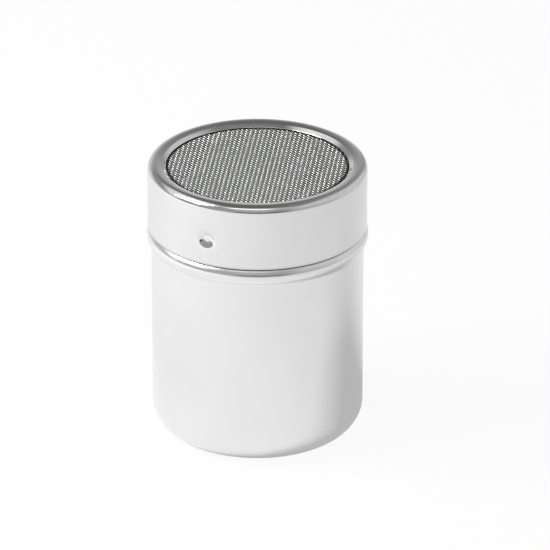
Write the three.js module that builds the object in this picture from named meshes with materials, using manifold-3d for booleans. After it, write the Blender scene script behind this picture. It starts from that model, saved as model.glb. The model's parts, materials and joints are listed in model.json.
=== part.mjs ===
// A stainless steel spice shaker: a deep-drawn cup and a push-and-turn cap that carries a wire sieve.
// Millimetres, +Z up. The origin is the middle of the flat base, and the front is -Y.
// Azimuths are measured from the front towards +X.
import * as THREE from 'three';
import { mergeGeometries, mergeVertices } from 'three/addons/utils/BufferGeometryUtils.js';
import Module from 'manifold-3d';

// Steel sheet
const wall = 0.5;                     // thickness of the cup's and the cap's sheet

// Cup
const cupRadius = 35;                 // outside of the straight wall
const baseCornerRadius = 9.3;         // outside, between the base and the wall
const beadHeight = 69.8;              // widest place of the swaged bead, above the base
const beadProud = 1.56;               // how far the bead swells past the wall
const beadRadius = 4;                 // curve of the bead, from the wall over to the shoulder
const beadFillet = 1.5;               // hollow between the wall and the bead
const neckFillet = 2;                 // hollow between the shoulder and the neck

// Cap
const skirtProud = 1.15;              // how far the skirt stands out past the cup's wall
const lidHeight = 22.2;               // from the skirt's lower edge to the crown of the ring
const cornerBend = 2;                 // inside bend between the skirt and the ring
const crownRadius = 8;                // gentle fall of the ring from its crown in towards the lip
const lipBend = 0.4;                  // inside bend of the ring's inner lip
const topRingWidth = 6.05;            // from the outside of the skirt in to the opening over the sieve

// Locking dimples, pressed into the skirt from outside
const dimpleCount = 3;
const dimpleAzimuth = -27.6;          // degrees, of the one that shows at the front
const dimpleDrop = 13.9;              // centre, below the crown of the ring
const dimpleHalfWidth = 2.9;          // mouth of the pressing
const dimpleDepth = 1.1;

// Sieve: one gap of this net stands for three wire spacings each way
const wireSpacing = 1.05;             // of the woven cloth
const wiresPerGap = 3;
const netBar = 0.8;                   // strip left between two gaps
const netThickness = 0.6;             // two wires on top of each other
const netTurn = 40.2;                 // degrees from +X towards +Y to the first set of wires

// Ring that holds the sieve from below
const ringSheet = 0.5;
const ringSkirt = 3;                  // height of the collar that grips the cap's wall
const ringBend = 0.4;                 // inside bend between collar and flange

// Clearances
const seatGap = 0.3;                  // between pieces that rest on each other
const turnGap = 0.4;                  // between the cup's rolled rim and the cap's wall
const dimpleGap = 0.3;                // between a dimple and the neck
const lockGap = 0.5;                  // between a turned dimple and the rolled rim above it
const notchGap = 0.4;                 // at each side of a dimple in its notch
const lipCover = 0.4;                 // how far the lip hides the sieve's solid border
const overrun = 1;                    // how far a cutter runs past what it cuts

// Resolution
const roundSteps = 56;                // flats round the axis
const cornerSteps = 6;
const bendSteps = 2;
const beadSteps = 3;
const crownSteps = 3;
const lipSteps = 4;
const rollSteps = 8;
const dimpleSteps = 24;

// Heights and radii that follow
const lidRadius = cupRadius + skirtProud;
const lidInside = lidRadius - wall;
const beadCentre = cupRadius + beadProud - beadRadius;
const lidEdge = beadHeight + Math.sqrt((beadRadius + seatGap) ** 2 - (lidInside - beadCentre) ** 2);
const lidTop = lidEdge + lidHeight;
const openingRadius = lidRadius - topRingWidth;
const neckRadius = lidInside - dimpleDepth - dimpleGap;
const neckInside = neckRadius - wall;
const rollRadius = (lidInside - turnGap - neckInside) / 2;
const dimpleHeight = lidTop - dimpleDrop;
const dimpleBall = (dimpleHalfWidth ** 2 + dimpleDepth ** 2) / (2 * dimpleDepth);
const bumpBall = dimpleBall + wall;
const bumpHalfWidth = Math.sqrt(2 * bumpBall * dimpleDepth - dimpleDepth ** 2);
const rollHeight = dimpleHeight + bumpHalfWidth + lockGap + rollRadius;
const cornerRound = cornerBend + wall;
const lipRound = lipBend + wall;
const cornerCentre = lidRadius - cornerRound;
const cornerHeight = lidTop - cornerRound;
const crownHeight = lidTop - crownRadius;
const lipTilt = Math.asin((cornerCentre - openingRadius - lipRound) / (crownRadius - lipRound));
const lipHeight = crownHeight + (crownRadius - lipRound) * Math.cos(lipTilt);
const netTop = lipHeight - seatGap;
const ringTop = netTop - netThickness - seatGap;

const wasm = await Module();
wasm.setup();

// Turns a closed geometry into a solid that can be cut and joined
function solidOf(geometry) {
  const bare = geometry.clone();
  bare.deleteAttribute('normal');
  bare.deleteAttribute('uv');
  const merged = mergeVertices(bare);
  const corners = merged.index.array;
  const kept = [];
  for (let i = 0; i < corners.length; i += 3) {
    const [a, b, c] = corners.slice(i, i + 3);
    if (a !== b && b !== c && c !== a) kept.push(a, b, c);
  }
  const mesh = new wasm.Mesh({
    numProp: 3,
    vertProperties: new Float32Array(merged.attributes.position.array),
    triVerts: new Uint32Array(kept),
  });
  return new wasm.Manifold(mesh);
}

function geometryOf(solid) {
  const mesh = solid.getMesh();
  const geometry = new THREE.BufferGeometry();
  geometry.setAttribute('position', new THREE.BufferAttribute(mesh.vertProperties, mesh.numProp));
  geometry.setIndex(new THREE.BufferAttribute(mesh.triVerts, 1));
  geometry.computeVertexNormals();
  return geometry;
}

// Points of an arc in a half section, with its angles in degrees from the outward direction
function arc(centreRadius, centreHeight, radius, from, to, steps) {
  return Array.from({ length: steps + 1 }, (_, i) => {
    const angle = THREE.MathUtils.degToRad(THREE.MathUtils.lerp(from, to, i / steps));
    return new THREE.Vector2(centreRadius + radius * Math.cos(angle), centreHeight + radius * Math.sin(angle));
  });
}

const point = (radius, height) => new THREE.Vector2(radius, height);

// Spins a half section about the vertical axis: outside upwards, inside downwards
function spin(profile) {
  return new THREE.LatheGeometry(profile, roundSteps).rotateX(Math.PI / 2);
}

function disc(radius, low, high) {
  return solidOf(spin([point(0, low), point(radius, low), point(radius, high), point(0, high)]));
}

// Turns a geometry that was made at the front of the part round to an azimuth
function toAzimuth(geometry, azimuth) {
  return geometry.rotateZ(THREE.MathUtils.degToRad(azimuth));
}

function dimpleAzimuths() {
  return Array.from({ length: dimpleCount }, (_, i) => dimpleAzimuth + (i * 360) / dimpleCount);
}

// The cup is one sheet: base, wall, bead, shoulder, neck and a rim rolled outwards
function cupProfile() {
  const filletReach = cupRadius + beadFillet - beadCentre;
  const filletDrop = Math.sqrt((beadRadius + beadFillet) ** 2 - filletReach ** 2);
  const filletHeight = beadHeight - filletDrop;
  const beadStart = THREE.MathUtils.radToDeg(Math.atan2(filletDrop, filletReach));
  const neckCentre = neckRadius + neckFillet;
  const shoulder = Math.acos((neckCentre - beadCentre) / (beadRadius + neckFillet));
  const neckStart = beadHeight + (beadRadius + neckFillet) * Math.sin(shoulder);
  const shoulderAngle = THREE.MathUtils.radToDeg(shoulder);
  const rollCentre = neckInside + rollRadius;
  const rollStart = THREE.MathUtils.radToDeg(Math.acos((wall - rollRadius) / rollRadius));
  const baseCentre = cupRadius - baseCornerRadius;
  return [
    point(0, 0),
    ...arc(baseCentre, baseCornerRadius, baseCornerRadius, -90, 0, cornerSteps),
    ...arc(cupRadius + beadFillet, filletHeight, beadFillet, 180, 180 - beadStart, bendSteps),
    ...arc(beadCentre, beadHeight, beadRadius, -beadStart, 0, beadSteps).slice(1),
    ...arc(beadCentre, beadHeight, beadRadius, 0, shoulderAngle, beadSteps).slice(1),
    ...arc(neckCentre, neckStart, neckFillet, 180 + shoulderAngle, 180, beadSteps).slice(1),
    ...arc(rollCentre, rollHeight, rollRadius, -rollStart, 180, rollSteps),
    ...arc(neckCentre, neckStart, neckFillet + wall, 180, 180 + shoulderAngle, beadSteps),
    ...arc(beadCentre, beadHeight, beadRadius - wall, shoulderAngle, 0, beadSteps).slice(1),
    ...arc(beadCentre, beadHeight, beadRadius - wall, 0, -beadStart, beadSteps).slice(1),
    ...arc(cupRadius + beadFillet, filletHeight, beadFillet + wall, 180 - beadStart, 180, bendSteps).slice(1),
    ...arc(baseCentre, baseCornerRadius, baseCornerRadius - wall, 0, -90, cornerSteps),
    point(0, wall),
  ];
}

// A notch in the rolled rim lets each dimple pass before the cap is turned
function notch(azimuth) {
  const width = 2 * (bumpHalfWidth + notchGap);
  const depth = 2 * rollRadius + overrun;
  const height = 2 * (rollRadius + overrun);
  const block = new THREE.BoxGeometry(width, depth, height);
  block.translate(0, -neckRadius - depth / 2, rollHeight);
  return toAzimuth(block, azimuth);
}

function cupGeometry() {
  const notches = solidOf(mergeGeometries(dimpleAzimuths().map(notch)));
  return geometryOf(solidOf(spin(cupProfile())).subtract(notches));
}

// The cap is one sheet too: skirt, rounded corner, a ring that falls inwards, and a lip at the opening
function lidProfile() {
  const lipCentre = openingRadius + lipRound;
  const inner = 90 + THREE.MathUtils.radToDeg(lipTilt);
  return [
    point(lidRadius, lidEdge),
    ...arc(cornerCentre, cornerHeight, cornerRound, 0, 90, cornerSteps),
    ...arc(cornerCentre, crownHeight, crownRadius, 90, inner, crownSteps).slice(1),
    ...arc(lipCentre, lipHeight, lipRound, inner, 180, lipSteps).slice(1),
    ...arc(lipCentre, lipHeight, lipBend, 180, inner, lipSteps),
    ...arc(cornerCentre, crownHeight, crownRadius - wall, inner, 90, crownSteps).slice(1),
    ...arc(cornerCentre, cornerHeight, cornerBend, 90, 0, cornerSteps).slice(1),
    point(lidInside, lidEdge),
    point(lidRadius, lidEdge),
  ];
}

// A ball whose centre lies outside the skirt presses the dimple; a larger one gives its inner face
function dimpleBallGeometry(radius, azimuth) {
  const ball = new THREE.SphereGeometry(radius, dimpleSteps, dimpleSteps / 2);
  ball.translate(0, dimpleDepth - dimpleBall - lidRadius, dimpleHeight);
  return toAzimuth(ball, azimuth);
}

function lidGeometry() {
  const azimuths = dimpleAzimuths();
  const bumps = solidOf(mergeGeometries(azimuths.map((azimuth) => dimpleBallGeometry(bumpBall, azimuth))));
  const hollows = solidOf(mergeGeometries(azimuths.map((azimuth) => dimpleBallGeometry(dimpleBall, azimuth))));
  const core = disc(lidRadius - wall / 2, lidEdge, lidTop);
  return geometryOf(solidOf(spin(lidProfile())).add(bumps.intersect(core)).subtract(hollows));
}

// Radius of the cap's inside at a height within its rounded corner or below it
function lidInsideAt(height) {
  const rise = Math.max(0, height - cornerHeight);
  return cornerCentre + Math.sqrt(cornerBend ** 2 - rise ** 2);
}

// The sieve as a flat net: a disc with square gaps, cut off round where the lip hides the border
function sieveGeometry() {
  const discRadius = lidInsideAt(netTop) - seatGap;
  const netRadius = openingRadius + lipCover;
  const pitch = wireSpacing * wiresPerGap;
  const gap = pitch - netBar;
  const reach = Math.floor(netRadius / pitch);
  const netBottom = netTop - netThickness;
  const gaps = [];
  for (let column = -reach; column <= reach; column += 1) {
    for (let row = -reach; row <= reach; row += 1) {
      if (Math.hypot(column, row) * pitch > netRadius) continue;
      const block = new THREE.BoxGeometry(gap, gap, netThickness + 2 * overrun);
      gaps.push(block.translate(column * pitch, row * pitch, netTop - netThickness / 2));
    }
  }
  const turned = mergeGeometries(gaps).rotateZ(THREE.MathUtils.degToRad(netTurn));
  const cut = solidOf(turned).intersect(disc(netRadius, netBottom - overrun, netTop + overrun));
  return geometryOf(disc(discRadius, netBottom, netTop).subtract(cut));
}

// A flange under the sieve's border, with a collar that grips the cap's wall
function ringGeometry() {
  const outside = lidInside - seatGap;
  const inside = openingRadius + lipCover;
  const bend = ringBend + ringSheet;
  const bottom = ringTop - ringSkirt;
  return spin([
    point(outside, bottom),
    ...arc(outside - bend, ringTop - bend, bend, 0, 90, bendSteps + 1),
    point(inside, ringTop),
    point(inside, ringTop - ringSheet),
    ...arc(outside - bend, ringTop - bend, ringBend, 90, 0, bendSteps + 1),
    point(outside - ringSheet, bottom),
    point(outside, bottom),
  ]);
}

function steel(color, roughness) {
  return new THREE.MeshStandardMaterial({ color, roughness, metalness: 1 });
}

function piece(name, geometry, material) {
  const mesh = new THREE.Mesh(geometry, material);
  mesh.name = name;
  return mesh;
}

const shaker = new THREE.Group();
shaker.add(piece('cup', cupGeometry(), steel(0xd9d9d9, 0.3)));

const cap = new THREE.Group();
cap.add(piece('lid_shell', lidGeometry(), steel(0xd4d4d4, 0.22)));
cap.add(piece('sieve_mesh', sieveGeometry(), steel(0xa6a6a4, 0.35)));
cap.add(piece('retaining_ring', ringGeometry(), steel(0xc4c4c4, 0.35)));
shaker.add(cap);

export default shaker;
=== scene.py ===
# A stainless steel spice shaker on a white table: the looks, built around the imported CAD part.
# Metres, +Z up, the front is -Y. Azimuths are measured from the front towards +X.
import json
from math import acos, asin, cos, degrees, hypot, pi, radians, sin, sqrt, tan

import bmesh
import bpy
from mathutils import Matrix, Vector

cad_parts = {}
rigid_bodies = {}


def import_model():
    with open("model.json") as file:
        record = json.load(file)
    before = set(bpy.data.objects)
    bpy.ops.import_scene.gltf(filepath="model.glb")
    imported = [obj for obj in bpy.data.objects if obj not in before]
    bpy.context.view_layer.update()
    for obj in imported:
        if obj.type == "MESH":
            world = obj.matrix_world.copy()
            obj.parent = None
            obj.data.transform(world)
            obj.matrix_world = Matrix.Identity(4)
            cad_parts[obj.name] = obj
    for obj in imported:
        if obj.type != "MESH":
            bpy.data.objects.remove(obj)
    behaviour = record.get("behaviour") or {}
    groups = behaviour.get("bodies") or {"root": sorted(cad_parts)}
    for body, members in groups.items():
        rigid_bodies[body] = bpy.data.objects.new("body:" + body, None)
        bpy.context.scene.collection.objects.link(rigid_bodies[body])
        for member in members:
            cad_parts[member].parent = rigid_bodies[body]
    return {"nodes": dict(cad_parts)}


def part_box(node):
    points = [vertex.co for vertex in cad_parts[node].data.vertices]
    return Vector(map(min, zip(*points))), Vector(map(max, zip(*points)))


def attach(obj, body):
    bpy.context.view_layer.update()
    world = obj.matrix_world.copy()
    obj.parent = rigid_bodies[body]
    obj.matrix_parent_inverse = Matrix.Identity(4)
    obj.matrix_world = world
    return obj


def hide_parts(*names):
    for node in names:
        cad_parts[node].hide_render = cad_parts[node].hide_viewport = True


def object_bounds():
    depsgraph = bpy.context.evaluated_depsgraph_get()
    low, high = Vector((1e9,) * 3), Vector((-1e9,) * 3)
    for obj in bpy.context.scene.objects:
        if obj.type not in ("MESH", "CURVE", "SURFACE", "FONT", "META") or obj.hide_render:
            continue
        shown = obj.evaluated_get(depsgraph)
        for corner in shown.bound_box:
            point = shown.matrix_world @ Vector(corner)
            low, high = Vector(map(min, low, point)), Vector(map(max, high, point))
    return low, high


for leftOver in list(bpy.data.objects):
    bpy.data.objects.remove(leftOver)

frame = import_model()
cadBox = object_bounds()
mm = 0.001
print("frame loaded:", sorted(frame["nodes"]))


# Half sections: a wire in the XZ plane, drawn as a chain from one starting point

weldDistance = 0.002 * mm


def startSection(radius, height):
    section = bmesh.new()
    return section, section.verts.new((radius, 0, height))


def lineTo(section, tip, radius, height, steps=1):
    start = tip.co.copy()
    end = Vector((radius, 0, height))
    for step in range(steps):
        tip = bmesh.ops.extrude_vert_indiv(section, verts=[tip])["verts"][0]
        tip.co = start.lerp(end, (step + 1) / steps)
    return tip


def arcTo(section, tip, centreRadius, centreHeight, turn, steps):
    # turn is in degrees, and anticlockwise with the axis of the shaker on the left
    centre = (centreRadius, 0, centreHeight)
    swept = bmesh.ops.spin(
        section, geom=[tip], cent=centre, axis=(0, -1, 0), angle=radians(turn), steps=steps)
    return [item for item in swept["geom_last"] if isinstance(item, bmesh.types.BMVert)][0]


def spinSection(section, steps):
    geometry = section.verts[:] + section.edges[:]
    bmesh.ops.spin(
        section, geom=geometry, cent=(0, 0, 0), axis=(0, 0, 1), angle=2 * pi, steps=steps, use_merge=True)
    bmesh.ops.remove_doubles(section, verts=section.verts, dist=weldDistance)
    bmesh.ops.recalc_face_normals(section, faces=section.faces)
    widest = max(section.faces, key=lambda face: face.calc_center_median().xy.length)
    if widest.normal.xy.dot(widest.calc_center_median().xy) < 0:
        bmesh.ops.reverse_faces(section, faces=section.faces)
    return section


# Pieces

edgeSegments = 2
sharpAngle = 50


# The edges or verts of some faces, each once and in the order of the faces
def bordersOf(faces, kind):
    return list(dict.fromkeys(item for face in faces for item in getattr(face, kind)))


def newPiece(name, shape, body, materials, nodes):
    for face in shape.faces:
        face.smooth = True
    mesh = bpy.data.meshes.new(name)
    shape.to_mesh(mesh)
    shape.free()
    for material in materials:
        mesh.materials.append(material)
    piece = bpy.data.objects.new(name, mesh)
    bpy.context.scene.collection.objects.link(piece)
    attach(piece, body)
    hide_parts(*nodes)
    return piece


# The drawn side keeps the piece's first material, and the other side gets its last
def sheetThickness(piece, thickness, edgeRound):
    solidify = piece.modifiers.new("sheet", "SOLIDIFY")
    solidify.thickness = thickness
    solidify.offset = -1
    solidify.use_even_offset = True
    solidify.material_offset = len(piece.data.materials) - 1
    bevel = piece.modifiers.new("edge", "BEVEL")
    bevel.width = edgeRound
    bevel.segments = edgeSegments
    bevel.limit_method = "ANGLE"
    bevel.angle_limit = radians(sharpAngle)


# Materials

# What all the steels share: the detail of their noises, and the part of each in the roughness
steelNoise = {
    "lines": {"Scale": 1, "Detail": 2, "Roughness": 0.6},
    "clouds": {"Detail": 4, "Roughness": 0.55},
    "dents": {"Detail": 1, "Roughness": 0.4},
    "lineShare": 0.4,
    "cloudShare": 0.6,
    "low": 0.35,
    "high": 0.65,
}


def nodeTree(owner):
    owner.use_nodes = True
    owner.node_tree.nodes.clear()
    return owner.node_tree


def addNode(tree, kind, inputs=None, **settings):
    node = tree.nodes.new(kind)
    for name, value in settings.items():
        setattr(node, name, value)
    for name, value in (inputs or {}).items():
        if isinstance(value, bpy.types.NodeSocket):
            tree.links.new(value, node.inputs[name])
        else:
            node.inputs[name].default_value = value
    return node


def doMath(tree, operation, first, second=None):
    inputs = {0: first} if second is None else {0: first, 1: second}
    return addNode(tree, "ShaderNodeMath", inputs, operation=operation).outputs[0]


def weighted(tree, first, firstShare, second, secondShare):
    parts = [doMath(tree, "MULTIPLY", first, firstShare), doMath(tree, "MULTIPLY", second, secondShare)]
    return doMath(tree, "ADD", parts[0], parts[1])


def rescale(tree, value, fromLow, fromHigh, toLow=0, toHigh=1):
    inputs = {"Value": value, "From Min": fromLow, "From Max": fromHigh, "To Min": toLow, "To Max": toHigh}
    return addNode(tree, "ShaderNodeMapRange", inputs).outputs["Result"]


def mixColours(tree, share, first, second):
    inputs = {"Fac": share, "Color1": first, "Color2": second}
    return addNode(tree, "ShaderNodeMixRGB", inputs).outputs["Color"]


def steelMaterial(name, look):
    material = bpy.data.materials.new(name)
    tree = nodeTree(material)
    place = addNode(tree, "ShaderNodeTexCoord").outputs["Object"]
    parts = addNode(tree, "ShaderNodeSeparateXYZ", {0: place})
    squares = [doMath(tree, "MULTIPLY", parts.outputs[i], parts.outputs[i]) for i in (0, 1)]
    distance = doMath(tree, "SQRT", doMath(tree, "ADD", squares[0], squares[1]))

    # Buffing lines run round the axis: fine along the section, long round it
    along = addNode(tree, "ShaderNodeMapping", {"Vector": place, "Scale": look["lineScale"]})
    across = doMath(tree, "MULTIPLY", distance, look["lineScale"][2])
    lines = addNode(tree, "ShaderNodeTexNoise", {
        "Vector": along.outputs["Vector"], "W": across, **steelNoise["lines"],
    }, noise_dimensions="4D").outputs["Fac"]
    clouds = addNode(tree, "ShaderNodeTexNoise", {
        "Vector": place, "Scale": look["cloudScale"], **steelNoise["clouds"],
    }).outputs["Fac"]
    dents = addNode(tree, "ShaderNodeTexNoise", {
        "Vector": place, "Scale": look["waveScale"], **steelNoise["dents"],
    }).outputs["Fac"]

    smooth, rough = look["roughness"]
    finish = weighted(tree, lines, steelNoise["lineShare"], clouds, steelNoise["cloudShare"])
    roughness = rescale(tree, finish, steelNoise["low"], steelNoise["high"], smooth, rough)
    shine = rescale(tree, clouds, steelNoise["low"], steelNoise["high"])
    colour = mixColours(tree, shine, look["dull"], look["bright"])
    for patch in look.get("unpolishedAndPaintedLightPatches", []):
        # Between these heights or radii the steel blends into the patch's colour and extra roughness:
        # unpolished steel on the cup's neck, painted shade or a painted highlight on the other patches
        measure = parts.outputs["Z"] if patch["along"] == "height" else distance
        share = rescale(tree, measure, patch["polished"], patch["patchFull"])
        colour = mixColours(tree, share, colour, patch["colour"])
        roughness = doMath(tree, "ADD", roughness, doMath(tree, "MULTIPLY", share, patch["rougher"]))
    waviness = addNode(tree, "ShaderNodeBump", {
        "Strength": 1, "Distance": look["waveDepth"], "Height": dents,
    })
    grooves = addNode(tree, "ShaderNodeBump", {
        "Strength": 1, "Distance": look["lineDepth"], "Height": lines, "Normal": waviness.outputs["Normal"],
    })
    steel = addNode(tree, "ShaderNodeBsdfPrincipled", {
        "Base Color": colour, "Metallic": 1, "Roughness": roughness, "Normal": grooves.outputs["Normal"],
    })
    addNode(tree, "ShaderNodeOutputMaterial", {"Surface": steel.outputs["BSDF"]})
    return material


# The cup: one deep-drawn sheet with a swaged bead, a neck and a rim rolled outwards

cup = {
    "wallRadius": 35 * mm,
    "baseCorner": 9.3 * mm,
    "beadHeight": 69.7 * mm,
    "beadProud": 1.56 * mm,
    "beadRound": 3.5 * mm,
    "beadFillet": 1.5 * mm,
    "shoulderTurn": 62,
    "neckRadius": 34.25 * mm,
    "rollHole": 0.25 * mm,
    "rollTurn": 285,
    "sheet": 0.5 * mm,
    "edgeRound": 0.045 * mm,
    "roundSteps": 288,
    "baseSteps": 6,
    "cornerSteps": 24,
    "wallSteps": 16,
    "filletSteps": 8,
    "beadSteps": 28,
    "neckSteps": 6,
    "rollSteps": 20,
    "notches": 3,
    "firstNotch": -27.6,
    "notchWidth": 7 * mm,
    "notchDepth": 1 * mm,
    "notchMargin": 0.05 * mm,
    "cutDistance": 0.001 * mm,
}

cupLook = {
    "bright": (0.87, 0.87, 0.87, 1),
    "dull": (0.84, 0.84, 0.84, 1),
    "unpolishedAndPaintedLightPatches": [{
        # Painted highlight: from just above the bead's widest place the steel is painted brighter and made
        # rougher, lifting the shoulder's reflection
        "along": "height",
        "polished": 69.9 * mm,
        "patchFull": 70.4 * mm,
        "colour": (0.9, 0.9, 0.9, 1),
        "rougher": 0.12,
    }, {
        # Painted shade: where the shoulder goes in under the cap's edge the steel is painted dark, standing
        # in for the shade in the joint
        "along": "height",
        "polished": 72 * mm,
        "patchFull": 72.2 * mm,
        "colour": (0.42, 0.42, 0.42, 1),
        "rougher": 0.15,
    }, {
        "along": "height",
        "polished": 72.9 * mm,
        "patchFull": 73.3 * mm,
        "colour": (0.66, 0.66, 0.66, 1),
        "rougher": 0,
    }],
    "roughness": (0.09, 0.14),
    "lineScale": (40, 40, 1800),
    "lineDepth": 0.0004 * mm,
    "cloudScale": 45,
    "waveScale": 110,
    "waveDepth": 0.02 * mm,
}

# The inside of the cup and the cap is drawn steel without a polish
insideLook = {
    "bright": (0.62, 0.62, 0.62, 1),
    "dull": (0.54, 0.54, 0.54, 1),
    "roughness": (0.24, 0.34),
    "lineScale": (60, 60, 900),
    "lineDepth": 0.001 * mm,
    "cloudScale": 60,
    "waveScale": 110,
    "waveDepth": 0.02 * mm,
}


def rollHeight():
    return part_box("cup")[1].z - cup["sheet"] - cup["rollHole"]


def cupSection():
    widest = cup["wallRadius"] + cup["beadProud"]
    crown = widest - cup["beadRound"]
    hollow = cup["wallRadius"] + cup["beadFillet"]
    beadStart = degrees(acos((hollow - crown) / (cup["beadRound"] + cup["beadFillet"])))
    hollowHeight = cup["beadHeight"] - (cup["beadRound"] + cup["beadFillet"]) * sin(radians(beadStart))
    turn = radians(cup["shoulderTurn"])
    shoulder = crown + cup["beadRound"] * cos(turn)
    neckFillet = (shoulder - cup["neckRadius"]) / (1 - cos(turn))
    neckHeight = cup["beadHeight"] + (cup["beadRound"] + neckFillet) * sin(turn)
    neckCentre = cup["neckRadius"] + neckFillet
    beadTurn = beadStart + cup["shoulderTurn"]
    corner = cup["wallRadius"] - cup["baseCorner"]
    rollCentre = cup["neckRadius"] + cup["rollHole"]

    section, tip = startSection(0, 0)
    tip = lineTo(section, tip, corner, 0, cup["baseSteps"])
    tip = arcTo(section, tip, corner, cup["baseCorner"], 90, cup["cornerSteps"])
    tip = lineTo(section, tip, cup["wallRadius"], hollowHeight, cup["wallSteps"])
    tip = arcTo(section, tip, hollow, hollowHeight, -beadStart, cup["filletSteps"])
    tip = arcTo(section, tip, crown, cup["beadHeight"], beadTurn, cup["beadSteps"])
    tip = arcTo(section, tip, neckCentre, neckHeight, -cup["shoulderTurn"], cup["filletSteps"])
    tip = lineTo(section, tip, cup["neckRadius"], rollHeight(), cup["neckSteps"])
    arcTo(section, tip, rollCentre, rollHeight(), -cup["rollTurn"], cup["rollSteps"])
    return section


# The faces round the cup's rim, on the side that outward points to, each with its middle
def rimFaces(shape, outward):
    floor = rollHeight() - cup["notchDepth"]
    middles = [(face, face.calc_center_median()) for face in shape.faces]
    return [(face, middle) for face, middle in middles if middle.z > floor and middle.dot(outward) > 0]


# A notch lets each dimple of the cap pass: there the sheet stops before it rolls outwards
def cutNotches(shape):
    outside = cup["neckRadius"] + cup["notchMargin"]
    half = cup["notchWidth"] / 2
    for i in range(cup["notches"]):
        azimuth = radians(cup["firstNotch"] + i * 360 / cup["notches"])
        outward = Vector((sin(azimuth), -cos(azimuth), 0))
        sideways = Vector((cos(azimuth), sin(azimuth), 0))
        for side in (-1, 1):
            cut = [face for face, middle in rimFaces(shape, outward)]
            bmesh.ops.bisect_plane(
                shape, geom=cut + bordersOf(cut, "edges") + bordersOf(cut, "verts"),
                dist=cup["cutDistance"], plane_co=sideways * side * half, plane_no=sideways)
        gone = [face for face, middle in rimFaces(shape, outward)
                if abs(middle.dot(sideways)) < half and middle.xy.length > outside]
        bmesh.ops.delete(shape, geom=gone, context="FACES")


def makeCup():
    shape = spinSection(cupSection(), cup["roundSteps"])
    cutNotches(shape)
    piece = newPiece("cupShell", shape, "cup", [cupSteel, insideSteel], ["cup"])
    sheetThickness(piece, cup["sheet"], cup["edgeRound"])


cupSteel = steelMaterial("cupSteel", cupLook)
insideSteel = steelMaterial("insideSteel", insideLook)
makeCup()
print("cup made")


# The cap's shell: skirt, rounded corner, crowned ring and the lip round the sieve, with pressed dimples

cap = {
    "corner": 2.5 * mm,
    "crown": 8 * mm,
    "lipRound": 1 * mm,
    "lipWidth": 1.15 * mm,
    "lipSlope": 38,
    "edgeMargin": 0.12 * mm,
    "ringWidth": 6.05 * mm,
    "sheet": 0.5 * mm,
    "edgeRound": 0.05 * mm,
    "roundSteps": 288,
    "skirtSteps": 16,
    "cornerSteps": 24,
    "crownSteps": 10,
    "lipSteps": 6,
    "coneSteps": 3,
    "dimples": 3,
    "firstDimple": -27.6,
    "dimpleDrop": 13.5 * mm,
    "dimpleHalfWidth": 2.45 * mm,
    "dimpleTallness": 0.88,
    "dimpleDepth": 1 * mm,
    "dimpleLean": 0.45,
    "dimpleSteepness": 5.5,
    "fineReach": 4.9 * mm,
    "fineCuts": 5,
    "pressReach": 7.35 * mm,
}

capLook = {
    "bright": (0.83, 0.83, 0.83, 1),
    "dull": (0.80, 0.80, 0.80, 1),
    "unpolishedAndPaintedLightPatches": [{
        # Painted shade: the lowest part of the skirt, down to its edge, is painted darker and made rougher,
        # for the shade in the joint over the cup's shoulder
        "along": "height",
        "polished": 73.6 * mm,
        "patchFull": 72.8 * mm,
        "colour": (0.62, 0.62, 0.62, 1),
        "rougher": 0.05,
    }],
    "roughness": (0.08, 0.13),
    "lineScale": (40, 40, 1800),
    "lineDepth": 0.0004 * mm,
    "cloudScale": 50,
    "waveScale": 110,
    "waveDepth": 0.02 * mm,
}


def capSection():
    low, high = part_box("lid_shell")
    radius = high.x
    corner = radius - cap["corner"]
    cornerHeight = high.z - cap["corner"]
    opening = radius - cap["ringWidth"]
    slope = radians(cap["lipSlope"])
    lip = opening + cap["lipWidth"] + cap["lipRound"] * sin(slope)
    fall = asin((corner - lip) / (cap["crown"] - cap["lipRound"]))
    crownHeight = high.z - cap["crown"]
    lipHeight = crownHeight + (cap["crown"] - cap["lipRound"]) * cos(fall)
    coneHeight = lipHeight + cap["lipRound"] * cos(slope)
    nearEdge = cap["lipWidth"] - cap["edgeMargin"]

    section, tip = startSection(radius, low.z)
    tip = lineTo(section, tip, radius, low.z + cap["edgeMargin"])
    tip = lineTo(section, tip, radius, cornerHeight, cap["skirtSteps"])
    tip = arcTo(section, tip, corner, cornerHeight, 90, cap["cornerSteps"])
    tip = arcTo(section, tip, corner, crownHeight, degrees(fall), cap["crownSteps"])
    tip = arcTo(section, tip, lip, lipHeight, cap["lipSlope"] - degrees(fall), cap["lipSteps"])
    tip = lineTo(
        section, tip, opening + cap["edgeMargin"], coneHeight - nearEdge * tan(slope), cap["coneSteps"])
    lineTo(section, tip, opening, coneHeight - cap["lipWidth"] * tan(slope))
    return section


# How deep a dimple is beside and above its middle: a blunt punch that went in leaning upwards
def dimplePress(beside, above):
    distance = hypot(beside, above / cap["dimpleTallness"]) / cap["dimpleHalfWidth"]
    lean = 1 + cap["dimpleLean"] * above / cap["dimpleHalfWidth"]
    return cap["dimpleDepth"] * lean / (1 + distance ** cap["dimpleSteepness"])


def pressDimples(shape):
    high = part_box("lid_shell")[1]
    for i in range(cap["dimples"]):
        azimuth = radians(cap["firstDimple"] + i * 360 / cap["dimples"])
        inward = Vector((-sin(azimuth), cos(azimuth), 0))
        beside = Vector((cos(azimuth), sin(azimuth), 0))
        middle = Vector((0, 0, high.z - cap["dimpleDrop"])) - inward * high.x
        near = [face for face in shape.faces
                if (face.calc_center_median() - middle).length < cap["fineReach"]]
        bmesh.ops.subdivide_edges(
            shape, edges=bordersOf(near, "edges"), cuts=cap["fineCuts"], use_grid_fill=True)
        for vert in shape.verts:
            if (vert.co - middle).length < cap["pressReach"]:
                outward = Vector((vert.co.x, vert.co.y, 0)).normalized()
                onSkirt = outward * high.x + Vector((0, 0, vert.co.z))
                vert.co = onSkirt + inward * dimplePress(onSkirt.dot(beside), onSkirt.z - middle.z)


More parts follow.
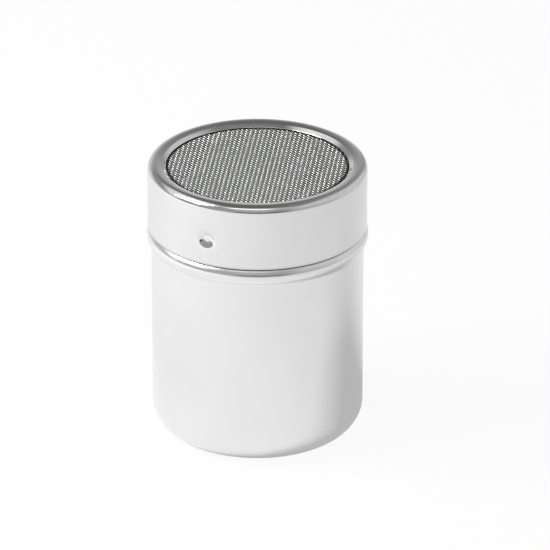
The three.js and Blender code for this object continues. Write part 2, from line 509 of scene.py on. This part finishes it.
def makeCap():
    shape = spinSection(capSection(), cap["roundSteps"])
    pressDimples(shape)
    piece = newPiece("capShell", shape, "lid", [capSteel, insideSteel], ["lid_shell"])
    sheetThickness(piece, cap["sheet"], cap["edgeRound"])


capSteel = steelMaterial("capSteel", capLook)
makeCap()
print("cap made")


# The ring inside the cap that holds the sieve's border

ring = {
    "bend": 0.9 * mm,
    "openingRadius": 30.5 * mm,
    "sheet": 0.5 * mm,
    "edgeRound": 0.1 * mm,
    "roundSteps": 192,
    "flatSteps": 3,
    "bendSteps": 8,
}

ringLook = {
    "bright": (0.76, 0.76, 0.76, 1),
    "dull": (0.70, 0.70, 0.70, 1),
    "roughness": (0.2, 0.3),
    "lineScale": (40, 40, 1200),
    "lineDepth": 0.0008 * mm,
    "cloudScale": 60,
    "waveScale": 110,
    "waveDepth": 0.02 * mm,
}


def makeRing():
    low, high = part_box("retaining_ring")
    bendRadius = high.x - ring["bend"]
    bendHeight = high.z - ring["bend"]
    section, tip = startSection(high.x, low.z)
    tip = lineTo(section, tip, high.x, bendHeight, ring["flatSteps"])
    tip = arcTo(section, tip, bendRadius, bendHeight, 90, ring["bendSteps"])
    lineTo(section, tip, ring["openingRadius"], high.z, ring["flatSteps"])
    shape = spinSection(section, ring["roundSteps"])
    steel = steelMaterial("ringSteel", ringLook)
    piece = newPiece("retainingRing", shape, "lid", [steel], ["retaining_ring"])
    sheetThickness(piece, ring["sheet"], ring["edgeRound"])


makeRing()
print("retaining ring made")


# The sieve: plain-woven wire cloth, each wire waving over and under those across it

cloth = {
    "warpPitch": 1.073 * mm,
    "weftPitch": 1.113 * mm,
    "wire": 0.36 * mm,
    "turn": 41.8,
    "skew": 4.4,
    "radius": 32.4 * mm,
    "raised": 0.38 * mm,
    "held": 0.25 * mm,
    "raisedRadius": 29.3 * mm,
    "heldRadius": 30.3 * mm,
    "stepsPerPitch": 4,
    "wireSides": 6,
}

wireLook = {
    "bright": (0.95, 0.95, 0.94, 1),
    "dull": (0.90, 0.90, 0.89, 1),
    "unpolishedAndPaintedLightPatches": [{
        # Painted shade: the low parts of the wires, where they pass under the crossing wires, are painted
        # dark while the crests stay bright
        "along": "height",
        "polished": 93.57 * mm,
        "patchFull": 93.44 * mm,
        "colour": (0.36, 0.36, 0.36, 1),
        "rougher": 0.1,
    }, {
        # Painted shadow: near the ring's edge and under the ring the cloth is painted almost black, for the
        # shade beneath the ring
        "along": "radius",
        "polished": 28.9 * mm,
        "patchFull": 29.35 * mm,
        "colour": (0.12, 0.12, 0.12, 1),
        "rougher": 0.1,
    }],
    "roughness": (0.32, 0.38),
    "lineScale": (300, 300, 900),
    "lineDepth": 0.0002 * mm,
    "cloudScale": 250,
    "waveScale": 400,
    "waveDepth": 0.002 * mm,
}


def makeWire(offset, crossing, startsHigh):
    half = sqrt(cloth["radius"] ** 2 - offset ** 2)
    step = crossing / cloth["stepsPerPitch"]
    count = int(half / step)
    wireRadius = cloth["wire"] / 2
    wire = bmesh.new()
    place = Matrix.Translation((0, offset, 0)) @ Matrix.Rotation(radians(90), 4, "Y")
    bmesh.ops.create_cone(
        wire, cap_ends=True, segments=cloth["wireSides"], radius1=wireRadius, radius2=wireRadius,
        depth=2 * count * step, matrix=place)
    sides = [edge for edge in wire.edges if edge.calc_length() > cloth["wire"]]
    bmesh.ops.subdivide_edges(wire, edges=sides, cuts=2 * count - 1)
    lift = wireRadius if startsHigh else -wireRadius
    for vert in wire.verts:
        vert.co.z += lift * cos(pi * vert.co.x / crossing)
    return wire


# The cloth went into its cap turned, and pulled a little out of square
def clothTurn(quarterTurn):
    skew = Matrix.Identity(4)
    skew[0][1] = sin(radians(cloth["skew"]))
    turn = Matrix.Rotation(radians(cloth["turn"]), 4, "Z")
    return turn @ skew @ Matrix.Rotation(radians(quarterTurn), 4, "Z")


# How far the cloth stands above the middle of its solid: raised inside the ring, held down under it
def clothRise(radius):
    share = (radius - cloth["raisedRadius"]) / (cloth["heldRadius"] - cloth["raisedRadius"])
    share = min(max(share, 0), 1)
    return cloth["raised"] - (cloth["raised"] + cloth["held"]) * share * share * (3 - 2 * share)


def makeWires(name, quarterTurn, spacing, crossing, middleHigh):
    low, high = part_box("sieve_mesh")
    shape = bmesh.new()
    reach = int(cloth["radius"] / spacing)
    for i in range(-reach, reach + 1):
        wire = makeWire(i * spacing, crossing, (i % 2 == 0) == middleHigh)
        mesh = bpy.data.meshes.new("wire")
        wire.to_mesh(mesh)
        wire.free()
        shape.from_mesh(mesh)
        bpy.data.meshes.remove(mesh)
    shape.transform(clothTurn(quarterTurn))
    for vert in shape.verts:
        vert.co.z += clothRise(vert.co.xy.length)
    shape.transform(Matrix.Translation((0, 0, (low.z + high.z) / 2)))
    bmesh.ops.recalc_face_normals(shape, faces=shape.faces)
    newPiece(name, shape, "lid", [wireSteel], ["sieve_mesh"])


wireSteel = steelMaterial("sieveWire", wireLook)
makeWires("warpWires", 0, cloth["warpPitch"], cloth["weftPitch"], True)
makeWires("weftWires", 90, cloth["weftPitch"], cloth["warpPitch"], False)
print("sieve woven")


# The table, the light and the camera

studio = {
    "tableSize": 6,
    "tableColour": (0.86, 0.86, 0.86, 1),
    "tableWhiteShare": 0.93,
    "tableMirrorShare": 0.28,
    "keyDistance": 0.95,
    "keySize": 0.455,
    "keyPower": 7.4,
    "keyDirection": (-0.7, -0.12, 0.7),
    "skyStrength": 1,
    "white": (1, 1, 1, 1),
}


# The table looks almost white to the camera, and less bright in the steel than a white table would
def makeTable():
    shape = bmesh.new()
    bmesh.ops.create_grid(shape, x_segments=1, y_segments=1, size=studio["tableSize"] / 2)
    mesh = bpy.data.meshes.new("table")
    shape.to_mesh(mesh)
    shape.free()
    material = bpy.data.materials.new("tableWhite")
    tree = nodeTree(material)
    rays = addNode(tree, "ShaderNodeLightPath").outputs
    mirrored = doMath(tree, "MAXIMUM", rays["Is Glossy Ray"], rays["Is Transmission Ray"])
    share = weighted(
        tree, rays["Is Camera Ray"], studio["tableWhiteShare"], mirrored, studio["tableMirrorShare"])
    paint = addNode(tree, "ShaderNodeBsdfDiffuse", {"Color": studio["tableColour"]})
    glow = addNode(tree, "ShaderNodeEmission", {"Color": studio["white"], "Strength": 1})
    mix = addNode(tree, "ShaderNodeMixShader", {0: share, 1: paint.outputs[0], 2: glow.outputs[0]})
    addNode(tree, "ShaderNodeOutputMaterial", {"Surface": mix.outputs[0]})
    mesh.materials.append(material)
    table = bpy.data.objects.new("table", mesh)
    bpy.context.scene.collection.objects.link(table)


# Brightness of the studio from the far horizon (0) over the ceiling (0.5) to the camera's side (1)
skyBands = {
    "middle": [(0, 0.68), (0.07, 0.62), (0.12, 0.42), (0.16, 0.25), (0.22, 0.15), (0.52, 0.13), (0.6, 0.3),
               (0.63, 1.5), (0.67, 1.5), (0.71, 0.5), (0.8, 0.42), (0.93, 0.42), (0.945, 0.04), (1, 0.04)],
    "dim": [(0, 0.39), (0.07, 0.34), (0.3, 0.26), (0.5, 0.2), (0.6, 0.3), (0.64, 0.6), (0.7, 0.4),
            (0.93, 0.3), (0.945, 0.08), (1, 0.08)],
    "left": [(0, 0.8), (0.06, 0.6), (0.12, 0.3), (0.22, 0.3), (0.3, 0.8), (0.55, 0.8), (0.63, 0.3), (1, 0.4)],
    "right": [(0, 0.65), (0.2, 0.65), (0.5, 0.6), (0.7, 0.6), (0.9, 0.45), (1, 0.4)],
}

# Where each side band begins and where it is alone, by the sideways part of the direction
skySides = {"dim": (0.08, 0.28), "left": (-0.3, -0.47), "right": (0.45, 0.62)}


def skyBand(tree, pitch, bands):
    ramp = addNode(tree, "ShaderNodeValToRGB", {"Fac": pitch})
    stops = ramp.color_ramp.elements
    while len(stops) < len(bands):
        stops.new(0.5)
    for stop, (position, level) in zip(stops, bands):
        stop.position = position
        stop.color = (level, level, level, 1)
    return ramp.outputs["Color"]


def makeSky():
    world = bpy.data.worlds.new("studio")
    bpy.context.scene.world = world
    tree = nodeTree(world)
    direction = addNode(tree, "ShaderNodeTexCoord").outputs["Generated"]
    parts = addNode(tree, "ShaderNodeSeparateXYZ", {0: direction})
    rise = doMath(tree, "MAXIMUM", parts.outputs["Z"], 0)
    pitch = doMath(tree, "DIVIDE", doMath(tree, "ARCTAN2", rise, parts.outputs["Y"]), pi)
    sky = skyBand(tree, pitch, skyBands["middle"])
    for name, (begins, alone) in skySides.items():
        band = skyBand(tree, pitch, skyBands[name])
        sky = mixColours(tree, rescale(tree, parts.outputs["X"], begins, alone), sky, band)
    studioLight = addNode(tree, "ShaderNodeBackground", {"Color": sky, "Strength": studio["skyStrength"]})
    white = addNode(tree, "ShaderNodeBackground", {"Color": studio["white"], "Strength": 1})
    rays = addNode(tree, "ShaderNodeLightPath").outputs
    mix = addNode(tree, "ShaderNodeMixShader", {
        0: rays["Is Camera Ray"], 1: studioLight.outputs[0], 2: white.outputs[0],
    })
    addNode(tree, "ShaderNodeOutputWorld", {"Surface": mix.outputs[0]})


def makeKeyLight():
    light = bpy.data.lights.new("key", "AREA")
    light.shape = "SQUARE"
    light.size = studio["keySize"]
    light.energy = studio["keyPower"]
    lamp = bpy.data.objects.new("key", light)
    direction = Vector(studio["keyDirection"]).normalized()
    lamp.location = direction * studio["keyDistance"]
    lamp.rotation_euler = direction.to_track_quat("Z", "Y").to_euler()
    lamp.visible_camera = False
    bpy.context.scene.collection.objects.link(lamp)


camera = {
    "elevation": 25.79,
    "distance": 2.207,
    "lens": 436.3,
    "sensor": 36,
    "shiftRight": 0.0318,
    "shiftUp": 0.0307,
    "nearest": 0.1,
    "farthest": 20,
}


def makeCamera():
    data = bpy.data.cameras.new("camera")
    data.lens = camera["lens"]
    data.sensor_width = camera["sensor"]
    data.shift_x = camera["shiftRight"]
    data.shift_y = camera["shiftUp"]
    data.clip_start = camera["nearest"]
    data.clip_end = camera["farthest"]
    holder = bpy.data.objects.new("camera", data)
    elevation = radians(camera["elevation"])
    back = Vector((0, -cos(elevation), sin(elevation)))
    middle = (cadBox[0] + cadBox[1]) / 2
    holder.location = middle + back * camera["distance"]
    holder.rotation_euler = back.to_track_quat("Z", "Y").to_euler()
    bpy.context.scene.collection.objects.link(holder)
    bpy.context.scene.camera = holder


makeTable()
makeSky()
makeKeyLight()
makeCamera()
bpy.context.scene.view_settings.view_transform = "Standard"
print("studio made")
